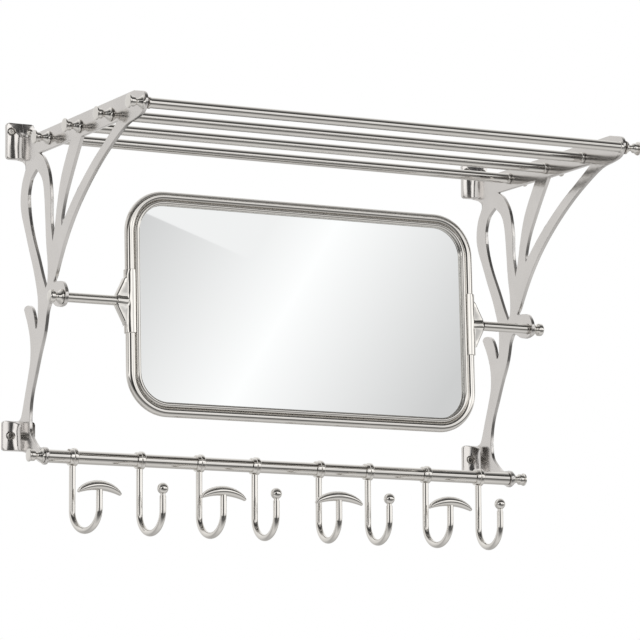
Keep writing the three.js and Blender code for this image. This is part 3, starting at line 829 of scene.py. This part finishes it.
@dataclass
class HookRow:
    """The hooks, their collars, and the crescents and balls on their ends."""

    finishes: Finishes
    turns: tuple[float, ...] = (15.5, 8.5, 9.5, 4.7, 1.8, 3.2, 8.0, 2.4)
    rod_radius: float = 3.5
    bend_radius: float = 22.5
    drop: float = 79.0
    collar_radius: float = 9.8
    boss_radius: float = 8.8
    bore_radius: float = 7.05
    collar_width: float = 9.0
    ball_radius: float = 6.0
    ball_below: float = 33.6
    cap_width: float = 57.0
    cap_depth: float = 11.875
    cap_below: float = 28.0
    cap_thickness: float = 10.5
    cap_fall: float = 14.5
    cap_tip_thickness: float = 3.6
    cap_tip_depth: float = 6.25
    cap_tip_inset: float = 1.2
    cap_sides: int = 28
    cap_in_rod: float = 1.5
    neck_radius: float = 2.8
    neck_length: float = 1.6

    def rod(self, tip_below: float) -> bpy.types.Object:
        """Bends a hook: down from the collar, round to the front and up to its tip.

        Args:
            tip_below: how far the tip lies below the rail's axis, in millimetres.

        Returns:
            The rod about the rail's axis, its front leg towards -Y.
        """
        piece = Bench.disc(self.rod_radius * MM, 24)
        top = -self.collar_radius + 0.5
        bend = -(self.drop - self.bend_radius)
        bpy.ops.transform.translate(value=(0, 0, top * MM))
        Bench.extrude((0, 0, (bend - top) * MM))
        bpy.ops.mesh.spin(
            steps=28,
            angle=math.pi,
            center=(0, -self.bend_radius * MM, bend * MM),
            axis=(1, 0, 0),
        )
        Bench.extrude((0, 0, (-tip_below - bend) * MM))
        return Bench.close(piece, "hook_pattern")

    def collar(self) -> bpy.types.Object:
        """Turns a collar: a raised rim beside a narrower boss, bored for the rail.

        Returns:
            The collar along +Z about its middle.
        """
        half = self.collar_width / 2
        bore, rim, boss = self.bore_radius, self.collar_radius, self.boss_radius
        piece = Bench.disc(bore * MM, 48, hollow=True)
        profile = [
            (bore, -half), (boss - 0.4, -half), (boss, -half + 0.4), (boss, -0.9), (boss + 0.15, -0.5),
            (rim - 0.3, -0.2), (rim, 0.4), (rim, half - 1.4), (rim - 0.35, half - 0.6), (rim - 1.2, half),
            (bore, half), (bore, -half),
        ]
        Bench.draw_out(profile)
        return Bench.close(piece, "collar_pattern")

    def ball(self) -> bpy.types.Object:
        """Turns the ball with its neck.

        Returns:
            The ball along +Z about its centre.
        """
        neck, ball = self.neck_radius, self.ball_radius
        profile = [(neck, -ball - self.neck_length), (neck, -math.sqrt(ball**2 - neck**2) - 0.1)]
        start = math.degrees(math.atan2(profile[1][1], neck))
        steps = 16
        for k in range(1, steps):
            angle = math.radians(start + (90 - start) * k / steps)
            profile.append((ball * math.cos(angle), ball * math.sin(angle)))
        profile.append((0.15, ball))
        return Bench.turned("ball_pattern", profile, sides=32)

    def crescent(self) -> bpy.types.Object:
        """Draws the crescent cap from tip to tip, one rounded section at a time.

        It is drawn shallower from front to back than the CAD's cap, which is 19 mm.

        Returns:
            The crescent about the middle of its top, long along X.
        """
        bpy.ops.mesh.primitive_circle_add(
            vertices=self.cap_sides, radius=1.0, fill_type="NGON", rotation=(0, math.pi / 2, 0)
        )
        piece = bpy.context.active_object
        bpy.ops.object.transform_apply(location=True, rotation=True, scale=True)
        bpy.ops.object.mode_set(mode="EDIT")
        bpy.ops.mesh.select_mode(type="FACE")
        bpy.ops.mesh.select_all(action="SELECT")
        old = (0.0, 0.0, 1.0, 1.0)
        for k, (even, blunt) in enumerate(self.crescent_stations()):
            fall = min(1.0, even * even)
            arch = (self.cap_fall - self.cap_tip_thickness) * (fall + 1 - math.sqrt(1 - fall)) / 2
            under = self.cap_thickness + (self.cap_fall - self.cap_thickness) * fall
            half_depth = (self.cap_depth - (self.cap_depth - self.cap_tip_depth) * fall) / 2 * blunt * MM
            middle, half_height = -(arch + under) / 2 * MM, (under - arch) / 2 * blunt * MM
            x = even * (self.cap_width / 2 - self.cap_tip_inset) * MM
            if k:
                Bench.extrude((x - old[0], 0, middle - old[1]))
            else:
                bpy.ops.transform.translate(value=(x, 0, middle))
            bpy.ops.transform.resize(
                value=(1, half_depth / old[2], half_height / old[3]),
                center_override=(x, 0, middle),
            )
            old = (x, middle, half_depth, half_height)
        return Bench.close(piece, "crescent_pattern")

    @staticmethod
    def crescent_stations() -> list[tuple[float, float]]:
        """Where the crescent's sections stand.

        Returns:
            Each section's place from -1 to 1 and a little past, with its share of the full size there.
        """
        steps = 22
        body = [(math.sin((2 * k / steps - 1) * math.pi / 2), 1.0) for k in range(steps + 1)]
        blunt = [(1.018, 0.93), (1.032, 0.78), (1.041, 0.52), (1.044, 0.2)]
        return [(-even, share) for even, share in reversed(blunt)] + body + blunt

    def build(self) -> None:
        """Makes the patterns and sets a copy of each at every hook."""
        under_cap = self.cap_below + self.cap_thickness
        under_ball = self.ball_below + self.ball_radius + self.neck_length
        Bench.clear()
        rods = {HookEnd.CRESCENT: self.rod(under_cap - self.cap_in_rod), HookEnd.BALL: self.rod(under_ball)}
        collar, ball = self.collar(), self.ball()
        Bench.clear()
        crescent = self.crescent()
        put, metal = self.finishes.set_copy, Slot.NICKEL
        for number, turn in enumerate(self.turns, 1):
            end = HookEnd.CRESCENT if number % 2 else HookEnd.BALL
            centre = centre_of(f"hook_collar_{number}")
            at_rail = Matrix.Translation(centre)
            along = at_rail @ Side.RIGHT.outward
            put(collar, f"turned_collar_{number}", along, metal, f"hook_collar_{number}")
            twist = at_rail @ Matrix.Rotation(math.radians(turn), 4, "Z")
            put(rods[end], f"bent_hook_{number}", twist, metal, f"hook_{number}")
            below = self.cap_below if end is HookEnd.CRESCENT else self.ball_below
            pattern = crescent if end is HookEnd.CRESCENT else ball
            tip = twist @ Matrix.Translation((0, -2 * self.bend_radius * MM, -below * MM))
            put(pattern, f"shaped_{end.value}_{number}", tip, metal, f"hook_{end.value}_{number}")
        for pattern in (*rods.values(), collar, ball, crescent):
            Bench.discard(pattern)


# ---------------------------------------------------------------- swing mirror


@dataclass
class SwingMirror:
    """The framed glass on its trunnions."""

    finishes: Finishes
    out: float = 122.5
    up: float = 149.9
    lean: float = 1.8
    half_width: float = 203.5
    half_height: float = 115.5
    corner: float = 40.5
    tube_radius: float = 5.5
    bead_radius: float = 2.5
    bead_forward: float = 4.0
    fit: float = 0.3
    rod_radius: float = 5.25
    sleeve_radius: float = 7.0
    saddle_edge: float = 2.2
    saddle_crisp: float = 0.8
    slice_pitch: float = 9.0
    corner_steps: int = 14

    @property
    def place(self) -> Matrix:
        """The mirror's own frame: about its axis, with its lean."""
        where = Matrix.Translation((0, -self.out * MM, self.up * MM))
        return where @ Matrix.Rotation(-math.radians(self.lean), 4, "X")

    def ring(self, name: str, inset: float, radius: float, forward: float, sides: int) -> bpy.types.Object:
        """Draws a round tube round the mirror's rounded outline.

        Args:
            name: the piece's name.
            inset: how far its centre line lies inside the frame tube's.
            radius: the tube's radius.
            forward: how far it lies in front of the frame tube's centre.
            sides: facets round the tube.

        Returns:
            The tube, placed with the mirror's lean.
        """
        wide, tall = self.half_width - inset, self.half_height - inset
        corner = self.corner - inset
        Bench.clear()
        bpy.ops.mesh.primitive_circle_add(
            vertices=sides, radius=radius * MM, fill_type="NOTHING", rotation=(0, math.pi / 2, 0)
        )
        piece = bpy.context.active_object
        bpy.ops.object.transform_apply(location=True, rotation=True, scale=True)
        bpy.ops.object.mode_set(mode="EDIT")
        bpy.ops.mesh.select_mode(type="EDGE")
        bpy.ops.mesh.select_all(action="SELECT")
        bpy.ops.transform.translate(value=(0, -forward * MM, tall * MM))
        x, z = (wide - corner) * MM, (tall - corner) * MM
        legs = [
            ((x, 0, 0), (x, z)),
            ((0, 0, -2 * z), (x, -z)),
            ((-2 * x, 0, 0), (-x, -z)),
            ((0, 0, 2 * z), (-x, z)),
        ]
        for move, (centre_x, centre_z) in legs:
            Bench.extrude(move)
            bpy.ops.mesh.spin(
                steps=self.corner_steps,
                angle=-math.pi / 2,
                center=(centre_x, -forward * MM, centre_z),
                axis=(0, 1, 0),
            )
        Bench.extrude((x, 0, 0))
        Bench.close(piece, name)
        return Bench.place(piece, self.place)

    def saddle(self, side: Side) -> bpy.types.Object:
        """Rounds over the edges of a merged copy of the saddle.

        Args:
            side: which end of the mirror.

        Returns:
            The finished saddle.
        """
        node = f"mirror_saddle_{side.word}"
        piece = Bench.from_cad(node, f"soldered_saddle_{side.word}")
        sleeve = (self.half_width + self.sleeve_radius + self.saddle_crisp) * MM
        Bench.soften(piece, self.saddle_edge, self.slice_pitch, crisp=lambda spot: abs(spot.x) < sleeve)
        return self.finishes.dress(piece, Slot.NICKEL, Body.MIRROR, node)

    def trunnion(self, side: Side) -> None:
        """Turns the rod and its knob.

        Args:
            side: which end of the mirror.
        """
        low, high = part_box(f"trunnion_rod_{side.word}")
        near, far = sorted((abs(low.x), abs(high.x)))
        near, far, r = near / MM, far / MM, self.rod_radius
        rod = Bench.turned(f"turned_trunnion_{side.word}", [(r, near), (r, far - 0.3), (r - 0.3, far)])
        Bench.place(rod, self.place @ side.outward)
        self.finishes.dress(rod, Slot.NICKEL, Body.MIRROR, f"trunnion_rod_{side.word}")
        low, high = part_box(f"trunnion_knob_{side.word}")
        base = min(abs(low.x), abs(high.x)) / MM
        outline = [
            (7.9, 0.0), (8.2, 0.3), (8.2, 1.2), (7.9, 1.9), (7.0, 2.9), (5.8, 4.0), (4.8, 5.1), (4.4, 6.0),
            (4.5, 6.8), (5.0, 7.5), (6.2, 8.3), (6.8, 9.0), (6.9, 9.8), (6.9, 12.2), (6.6, 13.2), (5.8, 14.0),
            (4.4, 14.6), (2.4, 14.92), (0.4, 15.0),
        ]
        knob = Bench.turned(f"turned_knob_{side.word}", [(a, base + b) for a, b in outline])
        Bench.place(knob, self.place @ side.outward)
        self.finishes.dress(knob, Slot.NICKEL, Body.MIRROR, f"trunnion_knob_{side.word}")

    def build(self) -> None:
        """Makes the frame, bead, saddles and trunnions and dresses the glass and board."""
        tube = self.ring("bent_frame", 0, self.tube_radius, 0, 32)
        self.finishes.dress(tube, Slot.NICKEL, Body.MIRROR, "mirror_frame")
        reach = self.tube_radius + self.bead_radius + self.fit
        inset = math.sqrt(reach**2 - self.bead_forward**2)
        bead = self.ring("bent_bead", inset, self.bead_radius, self.bead_forward, 20)
        self.finishes.dress(bead, Slot.NICKEL, Body.MIRROR, "mirror_bead")
        for side in Side:
            self.saddle(side)
            self.trunnion(side)
        for node, slot in (("mirror_glass", Slot.GLASS), ("mirror_back", Slot.BOARD)):
            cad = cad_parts[node]
            cad.data.materials.clear()
            cad.data.materials.append(self.finishes.of(slot))
            LOG.info("dressed %s", node)


# ---------------------------------------------------------------- studio


class RoomNodes(Nodes):
    """The nodes of the world, which read the direction that is looked in."""

    def falloff(
        self,
        towards: tuple[float, float, float],
        span: tuple[float, float],
        values: tuple[float, float],
        unsigned: bool = False,
    ) -> bpy.types.NodeSocket:
        """Shades the room by how far a direction lies from a given one.

        Args:
            towards: the given direction.
            span: the two cosines between which the value changes.
            values: the value at each of them.
            unsigned: True to shade alike, and evenly, on both sides of the plane square to that direction.

        Returns:
            The socket that holds the value.
        """
        near = self.new("VectorMath")
        near.operation = "DOT_PRODUCT"
        near.inputs[1].default_value = towards
        self.link(self.new("TexCoord").outputs["Generated"], near.inputs[0])
        source = near.outputs["Value"]
        if unsigned:
            source = self.worked("ABSOLUTE", source)
        value = self.new("MapRange")
        value.interpolation_type = "LINEAR" if unsigned else "SMOOTHSTEP"
        for name, number in zip(("From Min", "From Max", "To Min", "To Max"), (*span, *values)):
            value.inputs[name].default_value = number
        self.link(source, value.inputs["Value"])
        return value.outputs["Result"]

    def cone(
        self,
        towards: tuple[float, float, float],
        angles: tuple[float, float],
        values: tuple[float, float],
    ) -> bpy.types.NodeSocket:
        """Shades a cone of the room.

        Args:
            towards: the cone's axis.
            angles: the outer and the inner angle from it, in degrees.
            values: the value outside and inside.

        Returns:
            The socket that holds the value.
        """
        outer, inner = (math.cos(math.radians(angle)) for angle in angles)
        return self.falloff(towards, (outer, inner), values)

    def banded(self, bands: tuple[tuple[float, float], ...], tint: Colour) -> bpy.types.NodeSocket:
        """Lays bands round the level line along the wall.

        Args:
            bands: the angle and the value of each.
            tint: the colour of a value of 1.

        Returns:
            The socket of the colour.
        """
        split = self.new("SeparateXYZ")
        self.link(self.new("TexCoord").outputs["Generated"], split.inputs[0])
        share = self.new("MapRange")
        share.inputs["From Min"].default_value = -math.pi
        share.inputs["From Max"].default_value = math.pi
        self.link(self.worked("ARCTAN2", split.outputs["Z"], split.outputs["Y"]), share.inputs["Value"])
        tones = self.new("ValToRGB")
        ramp = tones.color_ramp
        while len(ramp.elements) < len(bands):
            ramp.elements.new(0.5)
        for element, (angle, value) in zip(ramp.elements, bands):
            element.position = (angle + 180) / 360
            element.color = (*(value * channel for channel in tint), 1)
        self.link(share.outputs["Result"], tones.inputs["Fac"])
        return tones.outputs["Color"]

    def glow(self, tone: float) -> bpy.types.Node:
        """Adds an even grey light of a given tone."""
        light = self.new("Background")
        light.inputs["Color"].default_value = (tone, tone, tone, 1)
        return light


@dataclass
class Studio:
    """The camera where the photograph was taken, a pale floor and soft light all round.

    Each band is an angle round the level line along the wall, and how light the room is there to polished
    metal: 0 lies towards the wall, 90 overhead, 180 in front and -90 below. The glass looks into the room
    about window_at, brightest along the ridge plane and with an evenly lit pane above the wedge plane.
    """

    camera_at: tuple[float, float, float] = (-1.9212, -3.9162, -0.4817)
    yaw: float = 27.105
    pitch: float = 8.354
    roll: float = -0.321
    lens: float = 225.0
    sensor: float = 36.0
    floor_z: float = -0.75
    floor_size: float = 40.0
    floor_tint: Colour = (0.86, 0.855, 0.85)
    floor_roughness: float = 0.9
    soft_tone: float = 0.9
    ridge_plane: tuple[float, float, float] = (0.79895, 0.28185, -0.53126)
    ridge_reach: float = 0.045
    ridge_tones: tuple[float, float] = (1.10, 0.68)
    wedge_plane: tuple[float, float, float] = (0.30636, 0.36775, 0.87801)
    wedge_tone: float = 0.97
    wedge_blur: float = 0.0008
    wedge_end: float = 0.002
    window_at: tuple[float, float, float] = (0.4463, -0.8719, 0.2017)
    window_cone: tuple[float, float] = (10.0, 4.5)
    shade_at: tuple[float, float, float] = (-0.4550, -0.8900, 0.0300)
    shade_cone: tuple[float, float] = (25.0, 15.0)
    shade_tones: tuple[float, float] = (1.0, 0.05)
    band_tint: Colour = (1.0, 0.99, 0.972)
    bands: tuple[tuple[float, float], ...] = (
        (-180, 1.00),
        (-174, 0.85),
        (-169, 0.20),
        (-152, 0.13),
        (-140, 0.36),
        (-126, 0.62),
        (-110, 0.80),
        (-94, 0.74),
        (-74, 0.60),
        (-45, 0.50),
        (-25, 0.58),
        (-8, 0.75),
        (6, 0.86),
        (16, 0.83),
        (40, 0.98),
        (56, 1.00),
        (70, 0.80),
        (84, 0.54),
        (98, 0.34),
        (110, 0.14),
        (126, 0.05),
        (140, 0.08),
        (147, 0.22),
        (152, 1.05),
        (159, 1.45),
        (170, 1.35),
        (180, 1.00),
    )

    def camera(self) -> None:
        """Sets the camera by its turn right of +Y, its tilt up and its roll."""
        a, e, r = (math.radians(v) for v in (self.yaw, self.pitch, self.roll))
        look = Vector((math.sin(a) * math.cos(e), math.cos(a) * math.cos(e), math.sin(e)))
        level = Vector((math.cos(a), -math.sin(a), 0))
        over = level.cross(look)
        right = math.cos(r) * level + math.sin(r) * over
        up = -math.sin(r) * level + math.cos(r) * over
        turn = Matrix((right, up, -look)).transposed()
        data = bpy.data.cameras.new("camera")
        data.sensor_width = self.sensor
        data.lens = self.lens
        data.clip_end = 100.0
        camera = bpy.data.objects.new("camera", data)
        camera.matrix_world = Matrix.Translation(self.camera_at) @ turn.to_4x4()
        bpy.context.scene.collection.objects.link(camera)
        bpy.context.scene.camera = camera

    def floor(self) -> None:
        """Lays the pale floor, which polished metal looks through to the room's lower bands."""
        Bench.clear()
        bpy.ops.mesh.primitive_plane_add(size=self.floor_size, location=(0, 0, self.floor_z))
        floor = bpy.context.active_object
        floor.name = "floor"
        material, nodes, shader = Nodes.start("pale_floor")
        shader.inputs["Base Color"].default_value = (*self.floor_tint, 1)
        shader.inputs["Roughness"].default_value = self.floor_roughness
        glossy = nodes.new("LightPath").outputs["Is Glossy Ray"]
        open_air = nodes.new("BsdfTransparent").outputs[0]
        shown = nodes.either(glossy, shader.outputs[0], open_air)
        nodes.link(shown, nodes.tree.nodes["Material Output"].inputs["Surface"])
        floor.data.materials.append(material)

    def world(self) -> None:
        """Lights the room: white to the camera, and bands of light and dark for polished metal to show."""
        world = bpy.data.worlds.new("studio")
        bpy.context.scene.world = world
        world.use_nodes = True
        world.node_tree.nodes.clear()
        nodes = RoomNodes(world.node_tree)
        framed = nodes.new("Mix")
        framed.data_type = "RGBA"
        share, outside, inside = framed.inputs[0], framed.inputs[6], framed.inputs[7]
        nodes.link(nodes.cone(self.window_at, self.window_cone, (0, 1)), share)
        nodes.link(nodes.banded(self.bands, self.band_tint), outside)
        nodes.link(self.window(nodes), inside)
        dimmed = nodes.new("VectorMath")
        dimmed.operation = "SCALE"
        nodes.link(framed.outputs[2], dimmed.inputs[0])
        nodes.link(nodes.cone(self.shade_at, self.shade_cone, self.shade_tones), dimmed.inputs["Scale"])
        mirrored, soft, white = nodes.glow(1.0), nodes.glow(self.soft_tone), nodes.glow(1.0)
        nodes.link(dimmed.outputs[0], mirrored.inputs["Color"])
        path = nodes.new("LightPath")
        light = nodes.either(path.outputs["Is Glossy Ray"], soft.outputs[0], mirrored.outputs[0])
        light = nodes.either(path.outputs["Is Camera Ray"], light, white.outputs[0])
        nodes.link(light, nodes.new("OutputWorld").inputs["Surface"])

    def window(self, nodes: RoomNodes) -> bpy.types.NodeSocket:
        """Adds what the glass shows: a bright ridge, and an even pane up to it.

        Args:
            nodes: the world's nodes.

        Returns:
            The socket of the value.
        """
        tone, reach = self.wedge_tone, (0.0, self.ridge_reach)
        ridge = nodes.falloff(self.ridge_plane, reach, self.ridge_tones, unsigned=True)
        above = nodes.falloff(self.wedge_plane, (0.0, self.wedge_blur), (0.0, tone))
        left = nodes.falloff(self.ridge_plane, (-self.wedge_end, 0.0), (tone, 0.0))
        return nodes.worked("MAXIMUM", ridge, nodes.worked("MINIMUM", above, left))

    def build(self) -> None:
        """Sets up the room."""
        self.camera()
        self.floor()
        self.world()
        bpy.context.scene.view_settings.view_transform = "Standard"


def main() -> None:
    """Builds the studio and each sub-assembly in turn."""
    logging.basicConfig(level=logging.INFO, format="%(message)s")
    Studio().build()
    finishes = Finishes()
    for assembly in (Brackets(finishes), RailRack(finishes), HookRow(finishes), SwingMirror(finishes)):
        assembly.build()
        LOG.info("finished %s", type(assembly).__name__)


if __name__ == "__main__":
    main()
